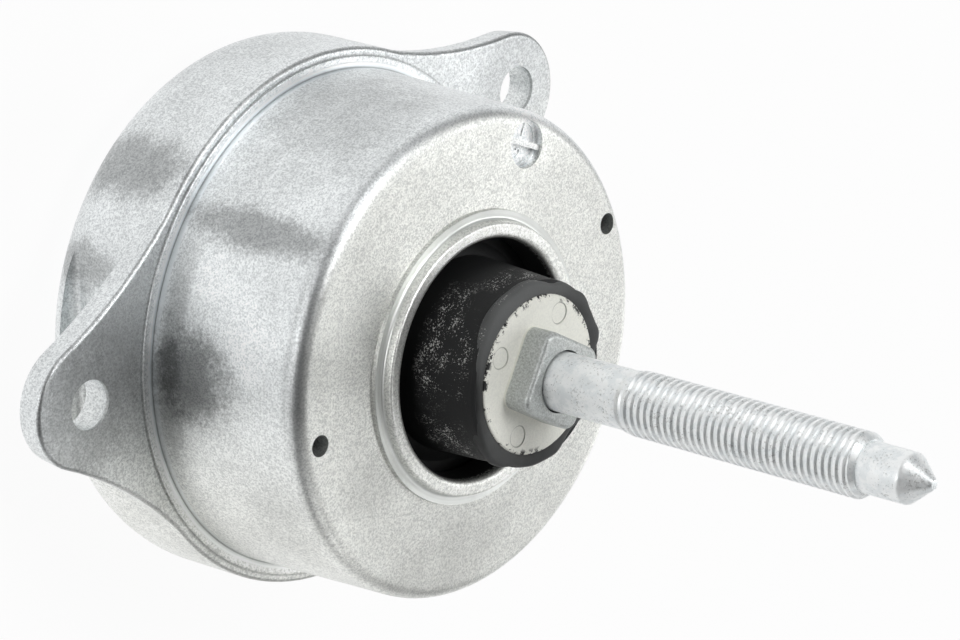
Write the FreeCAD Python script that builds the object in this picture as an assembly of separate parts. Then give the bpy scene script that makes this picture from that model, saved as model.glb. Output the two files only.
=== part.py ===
import FreeCAD, Part
import math
import os

os.makedirs("parts", exist_ok=True)

V = FreeCAD.Vector
UP = V(0, 0, 1)

# Frame: the mount stands on its rear cover. +Z runs up the stud,
# X runs from ear to ear, Y points to the side the ears lean to.
# Sizes are millimetres, angles are degrees.

# ---- levels along the axis, from the rear face ----
Z_COVER_FLOOR = 2.0
Z_DRUM_REAR = 3.4
Z_RELIEF = 8.0
Z_EAR_BACK = 22.6
Z_FOOT = 24.9
Z_FLANGE = 28.3
Z_RING_TOP = 40.6
Z_FACE_EDGE = 62.8
Z_FACE_ROOT = 63.7
Z_LIP_RING = 64.45
Z_LIP = 66.5
Z_SLEEVE = 78.6
Z_DISC = 79.1
Z_BOSS = 84.8
Z_THREAD_START = 100.5
Z_THREAD_END = 153.2
Z_DOG_END = 162.2
Z_TIP = 166.7

# ---- drum casting with the two ears ----
DRUM_R = 50.1
DRUM_WALL = 2.5
DRUM_REAR_ROUND = 13.9
DRUM_FRONT_ROUND = 0.9
COLLAR_WIDTH = 2.2
COLLAR_RISE = 0.45
COLLAR_SINK = 0.2
LEDGE_WIDTH = 4.2
RELIEF_DEPTH = 5.5
RELIEF_WIDTH = 56.0
RELIEF_ROUND = 2.0

EAR_HOLE_X = 59.3
EAR_HOLE_Y = 15.8
EAR_HOLE_R = 4.65
EAR_ENDS = ((-60.0, 16.1), (57.7, 15.7))
EAR_END_R = 12.0
EAR_DRAFT = 0.7
EAR_BLEND_R = 85.0
EAR_ROOT_SHARE = 0.9

# ---- nose casting, set back from the drum's outside by the shoulder ----
SHOULDER = 3.8
NOSE_BASE_R = DRUM_R - SHOULDER
NOSE_TAPER = 1.1
NOSE_TOP_R = NOSE_BASE_R - NOSE_TAPER
NOSE_EDGE_ROUND = 3.2
NOSE_WALL = 3.3
NOSE_FACE_T = 4.1
FOOT_T = 2.1
FOOT_REACH = 1.0
FOOT_CLEARANCE = 0.1
RING_SHOULDER = 0.9
OPENING_R = 22.15
OPENING_ROUND = 1.1
LIP_R = 25.0
LIP_ROUND = 0.5
LIP_DRAFT = 0.3
LIP_RING_R = 27.0
LIP_RING_DRAFT = 0.1
VENT_R = 2.0
VENTS = ((4.1, 6.7), (5.0, 173.3))
STAMP_R = 4.4
STAMP_INSET = 6.0
STAMP_ANGLE = 50.9
STAMP_DEPTH = 1.5
STAMP_STEP_R = 3.7
STAMP_STEP_DEPTH = 1.1
STAMP_BAR_W = 1.0
STAMP_BAR_DROP = 0.3
STAMP_BAR_ANGLE = 141.7

# ---- core: a cone in the rubber, a stop plate, a neck and the disc ----
Z_CORE = 30.0
Z_CORE_SHOULDER = 49.5
Z_STOP = 51.2
Z_NECK_ROOT = 57.8
Z_NECK = 62.5
CORE_TIP_R = 11.0
CORE_CHAMFER = 1.5
CORE_SHOULDER_R = 24.0
STOP_R = 30.0
STOP_T = 4.0
NECK_ROOT_R = 17.5
DISC_R = 14.64
DISC_ROUND = 0.5
EJECTOR_R = 2.0
EJECTOR_PITCH_R = 11.55
EJECTOR_DEPTH = 0.15
BOSS_SIDE = 15.2
BOSS_CORNER_R = 2.4
BOSS_TOP_ROUND = 0.9
BOSS_ANGLE = 45.0
BOSS_SINK = 2.0

# ---- stud ----
STUD_R = 5.88
STUD_SHANK_R = 5.4
STUD_ROOT_R = 5.9
STUD_ROOT_DEPTH = 30.0
STUD_ROOT_CHAMFER = 0.8
STUD_RELIEF_R = 5.75
STUD_RELIEF_DEPTH = 1.4
STUD_STEP = 0.5
THREAD_PITCH = 1.5
THREAD_DEPTH = 0.8
THREAD_ROOT_FLAT = 0.2
THREAD_CREST_FLAT = 0.25
THREAD_RUN_IN = 0.9
THREAD_CHAMFER = 1.3
DOG_R = 4.6
DOG_CHAMFER = 0.3
TIP_R = 1.2
TIP_ROUND = 0.5

# ---- rubber spring and its steel ring ----
SPRING_RING_T = 2.6
SPRING_RING_ROUND = 0.6
SPRING_RING_R = NOSE_BASE_R - NOSE_WALL
SPRING_GAP = 1.2
STOP_RUBBER = 2.4
SLEEVE_R = 17.1
SLEEVE_ROUND = 0.5
SLEEVE_ROOT_R = 17.9
Z_SLEEVE_ROOT = 60.0
Z_WAIST = 46.5
RUBBER_UNDER = 0.8

# ---- fluid track, decoupler and diaphragm ----
TRACK_CLEARANCE = 0.1
TRACK_TOP_T = 2.4
TRACK_BODY_T = 7.2
CHANNEL_INSET = 7.6
CHANNEL_WIDTH = 6.6
CHANNEL_DEPTH = 4.8
CHANNEL_SPAN = 320.0
PORT_R = 2.6
PORT_ANGLE = 6.0
DECOUPLER_R = 19.0
DECOUPLER_T = 2.2
DECOUPLER_ROUND = 0.5
DECOUPLER_SIDE_GAP = 0.5
DECOUPLER_TOP_GAP = 0.5
WINDOW_R = 2.4
WINDOW_RINGS = ((7.0, 5), (14.0, 9))
SEAL_T = 1.6
FRONT_SEAL_T = 1.2
RIVET_COUNT = 4
RIVET_R = 1.6
RIVET_PITCH_R = 23.8
RIVET_HEAD_R = 2.9
RIVET_HEAD_T = 0.9
RIVET_HEAD_CHAMFER = 0.4
RIVET_TURN = 20.0
BEAD_T = 2.2
BEAD_GAP = 0.8
BEAD_WIDTH = 4.8
INSERT_WIDTH = 2.0
INSERT_T = 1.0
DIAPHRAGM_T = 1.5
DIAPHRAGM_RISE = 0.3
ROLL_R = 26.5
ROLL_HALF = 6.6
ROLL_DIP = 6.2

# ---- rear cover ----
COVER_INSET = 5.7
COVER_R = DRUM_R - COVER_INSET
COVER_WALL = 1.8
COVER_DRAFT = 0.6
COVER_GAP = 0.4
COVER_VENT_R = 1.5
COVER_VENT_X = 15.0
SNAP_RING_HALF = 0.55
SNAP_RING_Z = 7.4

# ---- places that follow from the sizes above ----
OVERCUT = 1.0
Z_FOOT_TOP = Z_FOOT + FOOT_T
Z_TRACK_SPLIT = Z_FOOT - TRACK_TOP_T
Z_TRACK = Z_TRACK_SPLIT - TRACK_BODY_T
Z_LEDGE = Z_TRACK - BEAD_T
FOOT_R = NOSE_BASE_R + FOOT_REACH
COLLAR_OUTER_R = NOSE_BASE_R + COLLAR_WIDTH
RELIEF_R = DRUM_R - RELIEF_DEPTH
DRUM_BORE_R = RELIEF_R - DRUM_WALL
REAR_SEAT_R = DRUM_BORE_R - LEDGE_WIDTH
SPRING_RING_BORE_R = SPRING_RING_R - SPRING_RING_T
TRACK_R = DRUM_BORE_R - TRACK_CLEARANCE
CHANNEL_R1 = DRUM_BORE_R - CHANNEL_INSET
CHANNEL_R0 = CHANNEL_R1 - CHANNEL_WIDTH
CHANNEL_MID_R = CHANNEL_R1 - CHANNEL_WIDTH / 2
DECOUPLER_SEAT = Z_TRACK_SPLIT - DECOUPLER_T - DECOUPLER_TOP_GAP
BEAD_R = DRUM_BORE_R - BEAD_GAP


def make_revolved(points):
    wire = Part.makePolygon([V(r, 0, z) for r, z in points + points[:1]])
    return Part.Face(wire).revolve(V(), UP, 360)


def make_disc(radius, z0, z1, x=0.0, y=0.0):
    return Part.makeCylinder(radius, z1 - z0, V(x, y, z0))


def make_ring(outer, inner, z0, z1):
    return make_disc(outer, z0, z1).cut(make_disc(inner, z0 - OVERCUT, z1 + OVERCUT))


def place_polar(radius, angle):
    turn = math.radians(angle)
    return radius * math.cos(turn), radius * math.sin(turn)


def is_circle_at(edge, radius, z, slack=0.05):
    curve = edge.Curve
    if not isinstance(curve, Part.Circle):
        return False
    return abs(curve.Radius - radius) < slack and abs(curve.Center.z - z) < slack


def round_circles(shape, size, marks):
    edges = [e for e in shape.Edges if any(is_circle_at(e, r, z) for r, z in marks)]
    return shape.makeFillet(size, edges)


def make_arc_edge(start, middle, end):
    return Part.Arc(start, middle, end).toShape()


# ---- drum ----


def solve_blend(end, side):
    # centre of the hollow arc that touches the drum and the ear's round end
    to_drum = DRUM_R + EAR_BLEND_R
    to_end = EAR_END_R + EAR_BLEND_R
    reach = end.Length
    turn = math.acos((to_drum ** 2 + reach ** 2 - to_end ** 2) / (2 * to_drum * reach))
    angle = math.atan2(end.y, end.x) + side * turn
    return V(to_drum * math.cos(angle), to_drum * math.sin(angle), 0)


def make_blend_arc(end, side, inset):
    centre = solve_blend(end, side)
    reach = EAR_BLEND_R + inset
    on_drum = centre * ((DRUM_R - inset) / centre.Length)
    on_end = centre + (end - centre).normalize() * reach
    half_way = ((on_drum + on_end) * 0.5 - centre).normalize() * reach
    return on_drum, centre + half_way, on_end


def make_ear_wire(end, inset, z):
    first = make_blend_arc(end, 1, inset)
    second = make_blend_arc(end, -1, inset)
    tip = end * ((end.Length + EAR_END_R - inset) / end.Length)
    inner_a = first[0] * EAR_ROOT_SHARE
    inner_b = second[0] * EAR_ROOT_SHARE
    wire = Part.Wire([make_arc_edge(*first),
                      make_arc_edge(first[2], tip, second[2]),
                      make_arc_edge(second[2], second[1], second[0]),
                      Part.makeLine(second[0], inner_b),
                      Part.makeLine(inner_b, inner_a),
                      Part.makeLine(inner_a, first[0])])
    wire.translate(UP * z)
    return wire


def make_ear(end):
    wires = [make_ear_wire(end, EAR_DRAFT, Z_EAR_BACK), make_ear_wire(end, 0.0, Z_FLANGE)]
    ear = Part.makeLoft(wires, True, True)
    rims = [e for e in ear.Edges if isinstance(e.Curve, Part.Circle)
            and e.BoundBox.ZLength < DRUM_FRONT_ROUND / 10]
    return ear.makeFillet(DRUM_FRONT_ROUND, rims)


def make_relief(end):
    # flat that clears the bolt head behind an ear, with a round foot
    tool = Part.makeBox(RELIEF_DEPTH + OVERCUT, RELIEF_WIDTH, Z_EAR_BACK - Z_RELIEF,
                        V(RELIEF_R, -RELIEF_WIDTH / 2, Z_RELIEF))
    foot = [e for e in tool.Edges if e.BoundBox.XLength + e.BoundBox.ZLength < OVERCUT / 10
            and e.BoundBox.XMin < RELIEF_R + OVERCUT / 10
            and e.BoundBox.ZMax < Z_RELIEF + OVERCUT / 10]
    tool = tool.makeFillet(RELIEF_ROUND, foot)
    tool.rotate(V(), UP, math.degrees(math.atan2(end.y, end.x)))
    return tool


def make_drum_blank():
    return round_circles(make_disc(DRUM_R, 0, Z_FLANGE), DRUM_REAR_ROUND, [(DRUM_R, 0)])


def make_drum_housing():
    ends = [V(x, y, 0) for x, y in EAR_ENDS]
    body = make_drum_blank().cut(make_disc(DRUM_R, -OVERCUT, Z_DRUM_REAR))
    body = round_circles(body, DRUM_FRONT_ROUND, [(DRUM_R, Z_FLANGE)])
    body = body.cut([make_relief(end) for end in ends])
    body = body.fuse([make_ear(end) for end in ends])
    collar_top = Z_FLANGE + COLLAR_RISE
    collar = make_disc(COLLAR_OUTER_R, Z_FLANGE - COLLAR_SINK, collar_top)
    collar = round_circles(collar, COLLAR_RISE * 0.6, [(COLLAR_OUTER_R, collar_top)])
    body = body.fuse(collar)
    body = body.cut(make_disc(NOSE_BASE_R, Z_FOOT, collar_top + OVERCUT))
    body = body.cut(make_disc(FOOT_R + FOOT_CLEARANCE, Z_FOOT, Z_FOOT_TOP))
    body = body.cut(make_disc(DRUM_BORE_R, Z_LEDGE, Z_FOOT))
    body = body.cut(make_disc(REAR_SEAT_R, 0, Z_LEDGE))
    body = body.cut(make_snap_ring())
    for sign in (1, -1):
        hole = make_disc(EAR_HOLE_R, 0, Z_LIP, sign * EAR_HOLE_X, EAR_HOLE_Y)
        body = body.cut(hole)
    return body.removeSplitter()


# ---- nose ----


def make_stamp():
    x, y = place_polar(NOSE_TOP_R - STAMP_INSET, STAMP_ANGLE)
    floor = Z_FACE_EDGE - STAMP_DEPTH
    pocket = make_disc(STAMP_R, Z_FACE_EDGE - STAMP_STEP_DEPTH, Z_LIP, x, y)
    pocket = pocket.fuse(make_disc(STAMP_STEP_R, floor, Z_LIP, x, y))
    bar = Part.makeBox(2 * STAMP_R, STAMP_BAR_W, STAMP_DEPTH - STAMP_BAR_DROP,
                       V(-STAMP_R, -STAMP_BAR_W / 2, floor))
    bar.rotate(V(), UP, STAMP_BAR_ANGLE)
    bar.translate(V(x, y, 0))
    return pocket.cut(bar)


def make_nose_housing():
    inner_top = NOSE_TOP_R - NOSE_WALL
    body = make_revolved([
        (OPENING_R, Z_LIP),
        (LIP_R, Z_LIP),
        (LIP_R + LIP_DRAFT, Z_LIP_RING),
        (LIP_RING_R, Z_LIP_RING + LIP_RING_DRAFT),
        (LIP_RING_R + LIP_RING_DRAFT, Z_FACE_ROOT),
        (NOSE_TOP_R, Z_FACE_EDGE),
        (NOSE_BASE_R, Z_FLANGE),
        (NOSE_BASE_R, Z_FOOT_TOP),
        (FOOT_R, Z_FOOT_TOP),
        (FOOT_R, Z_FOOT),
        (SPRING_RING_R, Z_FOOT),
        (SPRING_RING_R, Z_RING_TOP),
        (SPRING_RING_R - RING_SHOULDER, Z_RING_TOP),
        (inner_top, Z_FACE_EDGE - NOSE_FACE_T),
        (LIP_RING_R, Z_FACE_ROOT - NOSE_FACE_T),
        (OPENING_R, Z_FACE_ROOT - NOSE_FACE_T)])
    body = round_circles(body, NOSE_EDGE_ROUND, [(NOSE_TOP_R, Z_FACE_EDGE)])
    body = round_circles(body, NOSE_EDGE_ROUND * 0.6, [(inner_top, Z_FACE_EDGE - NOSE_FACE_T)])
    body = round_circles(body, OPENING_ROUND, [(OPENING_R, Z_LIP)])
    body = round_circles(body, LIP_ROUND, [(LIP_R, Z_LIP)])
    body = round_circles(body, LIP_ROUND, [(LIP_R + LIP_DRAFT, Z_LIP_RING)])
    for inset, angle in VENTS:
        x, y = place_polar(NOSE_TOP_R - inset, angle)
        body = body.cut(make_disc(VENT_R, Z_RING_TOP, Z_LIP, x, y))
    return body.cut(make_stamp())


# ---- core and stud ----


def make_core_profile():
    return [(0, Z_CORE), (CORE_TIP_R, Z_CORE),
            (CORE_TIP_R + CORE_CHAMFER, Z_CORE + CORE_CHAMFER),
            (CORE_SHOULDER_R, Z_CORE_SHOULDER), (STOP_R, Z_STOP), (STOP_R, Z_STOP + STOP_T),
            (NECK_ROOT_R, Z_NECK_ROOT), (DISC_R, Z_NECK), (DISC_R, Z_DISC), (0, Z_DISC)]


def make_boss():
    half = BOSS_SIDE / 2
    boss = Part.makeBox(BOSS_SIDE, BOSS_SIDE, Z_BOSS - Z_DISC + BOSS_SINK,
                        V(-half, -half, Z_DISC - BOSS_SINK))
    boss = boss.makeFillet(BOSS_CORNER_R, [e for e in boss.Edges if e.BoundBox.ZLength > half / 2])
    tops = [e for e in boss.Edges if e.BoundBox.ZMin > Z_BOSS - BOSS_TOP_ROUND / 10]
    boss = boss.makeFillet(BOSS_TOP_ROUND, tops)
    boss.rotate(V(), UP, BOSS_ANGLE)
    return boss


def make_core():
    body = make_revolved(make_core_profile())
    body = round_circles(body, DISC_ROUND, [(DISC_R, Z_DISC)]).fuse(make_boss())
    for turn in range(4):
        x, y = place_polar(EJECTOR_PITCH_R, BOSS_ANGLE + 90 * turn)
        body = body.cut(make_disc(EJECTOR_R, Z_DISC - EJECTOR_DEPTH, Z_DISC, x, y))
    relief = Z_BOSS - STUD_RELIEF_DEPTH
    body = body.cut(make_disc(STUD_ROOT_R, Z_BOSS - STUD_ROOT_DEPTH, relief))
    return body.cut(make_disc(STUD_RELIEF_R, relief - OVERCUT, Z_BOSS))


def make_thread_profile():
    # the thread's ridges as rings, from the run-in to the end chamfer
    root = STUD_R - THREAD_DEPTH
    flank = (THREAD_PITCH - THREAD_CREST_FLAT - THREAD_ROOT_FLAT) / 2
    start = Z_THREAD_START + THREAD_RUN_IN
    end = Z_THREAD_END - THREAD_CHAMFER
    count = int((end - start) / THREAD_PITCH)
    points = []
    for ring in range(count):
        z = start + ring * THREAD_PITCH
        points += [(STUD_R, z), (STUD_R, z + THREAD_CREST_FLAT),
                   (root, z + THREAD_CREST_FLAT + flank), (root, z + THREAD_PITCH - flank)]
    return points + [(STUD_R, start + count * THREAD_PITCH), (STUD_R, end)]


def make_stud():
    root = Z_BOSS - STUD_ROOT_DEPTH
    relief = Z_BOSS - STUD_RELIEF_DEPTH
    below = [(0, root), (STUD_ROOT_R - STUD_ROOT_CHAMFER, root),
             (STUD_ROOT_R, root + STUD_ROOT_CHAMFER), (STUD_ROOT_R, relief - 2 * STUD_STEP),
             (STUD_SHANK_R, relief - STUD_STEP), (STUD_SHANK_R, Z_THREAD_START)]
    above = [(DOG_R, Z_THREAD_END), (DOG_R, Z_DOG_END - 2 * DOG_CHAMFER),
             (DOG_R - DOG_CHAMFER, Z_DOG_END), (TIP_R, Z_TIP - TIP_ROUND),
             (TIP_R - TIP_ROUND, Z_TIP), (0, Z_TIP)]
    return make_revolved(below + make_thread_profile() + above)


# ---- rubber spring ----


def make_main_spring():
    stop = STOP_R + STOP_RUBBER
    reach = SPRING_RING_BORE_R - stop
    rise = Z_SLEEVE - Z_SLEEVE_ROOT
    flare = SLEEVE_ROOT_R - SLEEVE_R
    bottom = Z_FOOT + SPRING_GAP
    tip = CORE_TIP_R + CORE_CHAMFER
    core_side = make_core_profile()[1:-2]
    sleeve = [(DISC_R, Z_SLEEVE), (SLEEVE_R - SLEEVE_ROUND, Z_SLEEVE),
              (SLEEVE_R, Z_SLEEVE - SLEEVE_ROUND), (SLEEVE_R, Z_SLEEVE - rise / 6),
              (SLEEVE_R + flare / 2, Z_SLEEVE_ROOT + rise / 2), (SLEEVE_ROOT_R, Z_SLEEVE_ROOT),
              (SLEEVE_ROOT_R + STOP_RUBBER, Z_NECK_ROOT + RUBBER_UNDER)]
    stop_side = [(stop - STOP_RUBBER, Z_STOP + STOP_T + STOP_RUBBER), (stop, Z_STOP + STOP_T),
                 (stop, Z_STOP), (stop - STOP_RUBBER / 2, Z_STOP - STOP_RUBBER)]
    cone = [(stop - RUBBER_UNDER, Z_WAIST), (stop + reach * 0.3, Z_WAIST - reach * 0.45),
            (stop + reach * 0.75, Z_RING_TOP - RUBBER_UNDER / 2),
            (SPRING_RING_BORE_R, Z_RING_TOP - SPRING_GAP), (SPRING_RING_BORE_R, bottom)]
    under = [(SPRING_RING_BORE_R - reach / 2, bottom), (STOP_R, bottom + reach / 4),
             (CORE_SHOULDER_R, Z_CORE + RUBBER_UNDER), (tip + STOP_RUBBER, Z_CORE + RUBBER_UNDER),
             (tip, Z_CORE - RUBBER_UNDER)]
    return make_revolved(core_side + sleeve + stop_side + cone + under)


def make_spring_ring():
    ring = make_ring(SPRING_RING_R, SPRING_RING_BORE_R, Z_FOOT, Z_RING_TOP)
    return round_circles(ring, SPRING_RING_ROUND, [(SPRING_RING_BORE_R, Z_RING_TOP)])


# ---- fluid track ----


def cut_windows(body, z0, z1):
    for pitch, count in WINDOW_RINGS:
        for index in range(count):
            x, y = place_polar(pitch, 360.0 * index / count)
            body = body.cut(make_disc(WINDOW_R, z0, z1, x, y))
    return body


def place_rivets():
    return [place_polar(RIVET_PITCH_R, RIVET_TURN + 360.0 * index / RIVET_COUNT)
            for index in range(RIVET_COUNT)]


def cut_rivet_holes(body):
    return body.cut([make_disc(RIVET_R, 0, Z_LIP, x, y) for x, y in place_rivets()])


def make_track_top():
    body = make_disc(TRACK_R, Z_TRACK_SPLIT, Z_FOOT).cut(make_front_seal())
    body = cut_windows(body, Z_TRACK_SPLIT - OVERCUT, Z_FOOT + OVERCUT)
    x, y = place_polar(CHANNEL_MID_R, PORT_ANGLE)
    body = body.cut(make_disc(PORT_R, Z_TRACK_SPLIT - OVERCUT, Z_FOOT + OVERCUT, x, y))
    return cut_rivet_holes(body)


def make_channel():
    floor = Z_TRACK_SPLIT - CHANNEL_DEPTH
    wire = Part.makePolygon([V(CHANNEL_R0, 0, floor), V(CHANNEL_R1, 0, floor),
                             V(CHANNEL_R1, 0, Z_TRACK_SPLIT), V(CHANNEL_R0, 0, Z_TRACK_SPLIT),
                             V(CHANNEL_R0, 0, floor)])
    return Part.Face(wire).revolve(V(), UP, CHANNEL_SPAN)


def make_track_body():
    body = make_disc(TRACK_R, Z_TRACK, Z_TRACK_SPLIT).cut(make_channel())
    x, y = place_polar(CHANNEL_MID_R, CHANNEL_SPAN - PORT_ANGLE)
    floor = Z_TRACK_SPLIT - CHANNEL_DEPTH
    body = body.cut(make_disc(PORT_R, Z_TRACK - OVERCUT, floor + OVERCUT, x, y))
    seat_r = DECOUPLER_R + DECOUPLER_SIDE_GAP
    body = body.cut(make_disc(seat_r, DECOUPLER_SEAT, Z_TRACK_SPLIT))
    body = cut_windows(body, Z_TRACK - OVERCUT, DECOUPLER_SEAT + OVERCUT)
    return cut_rivet_holes(body.cut(make_track_seal()))


def make_decoupler():
    top = DECOUPLER_SEAT + DECOUPLER_T
    pad = make_disc(DECOUPLER_R, DECOUPLER_SEAT, top)
    return round_circles(pad, DECOUPLER_ROUND, [(DECOUPLER_R, DECOUPLER_SEAT), (DECOUPLER_R, top)])


def make_front_seal():
    return make_ring(DRUM_BORE_R, DRUM_BORE_R - SEAL_T, Z_FOOT - FRONT_SEAL_T, Z_FOOT)


def make_track_seal():
    middle = (Z_TRACK + Z_TRACK_SPLIT) / 2
    return make_ring(DRUM_BORE_R, DRUM_BORE_R - SEAL_T, middle - SEAL_T / 2, middle + SEAL_T / 2)


def make_rivet(x, y):
    neck = RIVET_HEAD_R - RIVET_HEAD_CHAMFER
    step = RIVET_HEAD_T - RIVET_HEAD_CHAMFER
    rivet = make_revolved([
        (0, Z_TRACK - RIVET_HEAD_T), (neck, Z_TRACK - RIVET_HEAD_T),
        (RIVET_HEAD_R, Z_TRACK - step), (RIVET_HEAD_R, Z_TRACK), (RIVET_R, Z_TRACK),
        (RIVET_R, Z_FOOT), (RIVET_HEAD_R, Z_FOOT), (RIVET_HEAD_R, Z_FOOT + step),
        (neck, Z_FOOT + RIVET_HEAD_T), (0, Z_FOOT + RIVET_HEAD_T)])
    rivet.translate(V(x, y, 0))
    return rivet


def make_track_rivets():
    return Part.makeCompound([make_rivet(x, y) for x, y in place_rivets()])


def make_bead_insert():
    middle_r = BEAD_R - BEAD_WIDTH / 2
    middle_z = Z_LEDGE + BEAD_T / 2
    return make_ring(middle_r + INSERT_WIDTH / 2, middle_r - INSERT_WIDTH / 2,
                     middle_z - INSERT_T / 2, middle_z + INSERT_T / 2)


def make_diaphragm():
    # bead, then one rolling fold that hangs from the bead, then the flat centre
    level = Z_LEDGE + DIAPHRAGM_T + DIAPHRAGM_RISE
    bead_in = BEAD_R - BEAD_WIDTH
    shares = ((1.0, 0.3), (0.5, 0.85), (0.0, 1.0), (-0.5, 0.85), (-1.0, 0.2))
    fold = [(ROLL_R + ROLL_HALF * across, level - ROLL_DIP * down) for across, down in shares]
    fold.append((0, level))
    upper = [(BEAD_R, Z_LEDGE), (BEAD_R, Z_TRACK), (bead_in, Z_TRACK)] + fold
    lower = [(r, z - DIAPHRAGM_T) for r, z in reversed(fold)]
    return make_revolved(upper + lower + [(bead_in, Z_LEDGE)]).cut(make_bead_insert())


# ---- rear cover ----


def make_snap_ring():
    return make_ring(REAR_SEAT_R + SNAP_RING_HALF, REAR_SEAT_R - SNAP_RING_HALF,
                     SNAP_RING_Z - SNAP_RING_HALF, SNAP_RING_Z + SNAP_RING_HALF)


def make_rear_cover():
    spigot_in = REAR_SEAT_R - COVER_WALL
    top = Z_LEDGE - COVER_GAP
    body = make_revolved([
        (0, 0), (COVER_R, 0), (COVER_R, Z_DRUM_REAR), (REAR_SEAT_R, Z_DRUM_REAR),
        (REAR_SEAT_R, top), (spigot_in, top), (spigot_in - COVER_DRAFT, Z_COVER_FLOOR),
        (0, Z_COVER_FLOOR)])
    body = body.common(make_drum_blank())
    body = body.cut(make_disc(COVER_VENT_R, -OVERCUT, Z_LEDGE, COVER_VENT_X, 0))
    return body.cut(make_snap_ring())


def make_all():
    return {
        "drum_housing": make_drum_housing(),
        "nose_housing": make_nose_housing(),
        "rear_cover": make_rear_cover(),
        "rear_snap_ring": make_snap_ring(),
        "core": make_core(),
        "stud": make_stud(),
        "main_spring": make_main_spring(),
        "spring_ring": make_spring_ring(),
        "track_top": make_track_top(),
        "track_body": make_track_body(),
        "decoupler": make_decoupler(),
        "diaphragm": make_diaphragm(),
        "bead_insert": make_bead_insert(),
        "front_seal": make_front_seal(),
        "track_seal": make_track_seal(),
        "track_rivets": make_track_rivets()}


for name, shape in make_all().items():
    expected = RIVET_COUNT if name == "track_rivets" else 1
    if not shape.isValid() or len(shape.Solids) != expected:
        raise RuntimeError("%s is not sound" % name)
    if expected == 1:
        shape = shape.Solids[0]
    shape.exportStep("parts/%s.step" % name)
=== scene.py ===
import math

import bmesh
import bpy
from mathutils import Matrix, Quaternion, Vector


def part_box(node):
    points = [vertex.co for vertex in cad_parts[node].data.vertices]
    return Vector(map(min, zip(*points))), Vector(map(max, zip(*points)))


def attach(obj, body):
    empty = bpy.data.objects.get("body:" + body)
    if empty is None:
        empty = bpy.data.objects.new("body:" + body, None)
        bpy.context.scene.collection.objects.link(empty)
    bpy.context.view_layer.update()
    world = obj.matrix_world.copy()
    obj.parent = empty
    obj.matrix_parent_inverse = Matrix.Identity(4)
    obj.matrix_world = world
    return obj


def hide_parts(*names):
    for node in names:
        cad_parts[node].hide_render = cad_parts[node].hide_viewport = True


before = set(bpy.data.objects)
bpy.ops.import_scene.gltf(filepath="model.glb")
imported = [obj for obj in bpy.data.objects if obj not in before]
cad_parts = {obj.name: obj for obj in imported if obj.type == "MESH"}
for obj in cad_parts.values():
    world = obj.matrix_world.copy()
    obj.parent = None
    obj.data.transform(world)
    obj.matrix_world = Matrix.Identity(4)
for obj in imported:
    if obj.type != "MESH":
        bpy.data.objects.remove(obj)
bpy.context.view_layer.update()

bl_info = {
    "name": "Hydraulic Engine Mount",
    "version": (1, 0, 0),
    "blender": (4, 5, 0),
    "location": "3D View > Sidebar > Mount",
    "description": "Dresses the CAD frame of a stud-type hydraulic engine mount",
    "category": "Object",
}

MM = 0.001
UP = Vector((0.0, 0.0, 1.0))


# ---------------------------------------------------------------- settings


class StudSizes(bpy.types.PropertyGroup):
    """Turned and rolled forms of the stud"""

    pitch: bpy.props.FloatProperty(
        name="Pitch", description="Distance from one thread crest to the next",
        default=1.5 * MM, unit="LENGTH")
    crest: bpy.props.FloatProperty(
        name="Crest radius", description="Radius over the thread crests",
        default=5.88 * MM, unit="LENGTH")
    root: bpy.props.FloatProperty(
        name="Root radius", description="Radius at the bottom of the thread",
        default=5.5 * MM, unit="LENGTH")
    shank: bpy.props.FloatProperty(
        name="Shank radius", description="Radius of the plain shank below the thread",
        default=5.4 * MM, unit="LENGTH")
    thread_start: bpy.props.FloatProperty(
        name="Thread start", description="Height where the thread runs out into the shank",
        default=100.2 * MM, unit="LENGTH")
    thread_end: bpy.props.FloatProperty(
        name="Thread end", description="Height where the thread's end chamfer stops",
        default=153.2 * MM, unit="LENGTH")
    dog: bpy.props.FloatProperty(
        name="Dog radius", description="Radius of the plain dog point",
        default=4.6 * MM, unit="LENGTH")
    dog_end: bpy.props.FloatProperty(
        name="Dog end", description="Height where the dog point turns into the cone",
        default=162.2 * MM, unit="LENGTH")
    foot: bpy.props.FloatProperty(
        name="Foot", description="Height where the visible shank leaves the core",
        default=82.4 * MM, unit="LENGTH")


class SleeveSizes(bpy.types.PropertyGroup):
    """The rubber rim round the core's disc"""

    inner: bpy.props.FloatProperty(
        name="Inner radius", description="Radius where the rim meets the disc",
        default=14.5 * MM, unit="LENGTH")
    outer: bpy.props.FloatProperty(
        name="Outer radius", description="Mean radius of the rim's outer edge",
        default=16.9 * MM, unit="LENGTH")
    front: bpy.props.FloatProperty(
        name="Front", description="Height of the rim's front",
        default=79.0 * MM, unit="LENGTH")
    back: bpy.props.FloatProperty(
        name="Back", description="Height where the rim fades into the sleeve",
        default=75.6 * MM, unit="LENGTH")
    ripple: bpy.props.FloatProperty(
        name="Ripple", description="How far the torn moulding edge wanders in and out",
        default=0.5 * MM, unit="LENGTH")


class StampSizes(bpy.types.PropertyGroup):
    """Figures in the round date stamp"""

    radius: bpy.props.FloatProperty(
        name="Pitch radius", description="Distance of the stamp's centre from the stud's axis",
        default=39.2 * MM, unit="LENGTH")
    angle: bpy.props.FloatProperty(
        name="Angle", description="Place of the stamp round the axis",
        default=math.radians(50.9), subtype="ANGLE")
    turn: bpy.props.FloatProperty(
        name="Turn", description="Which way the stamp's bar runs",
        default=math.radians(141.7), subtype="ANGLE")
    floor: bpy.props.FloatProperty(
        name="Floor", description="Height of the stamp's sunk floor",
        default=61.3 * MM, unit="LENGTH")
    figure_size: bpy.props.FloatProperty(
        name="Figure size", description="Height of the raised figures",
        default=3.4 * MM, unit="LENGTH")
    relief: bpy.props.FloatProperty(
        name="Relief", description="How far the figures stand up",
        default=0.22 * MM, unit="LENGTH")


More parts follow.
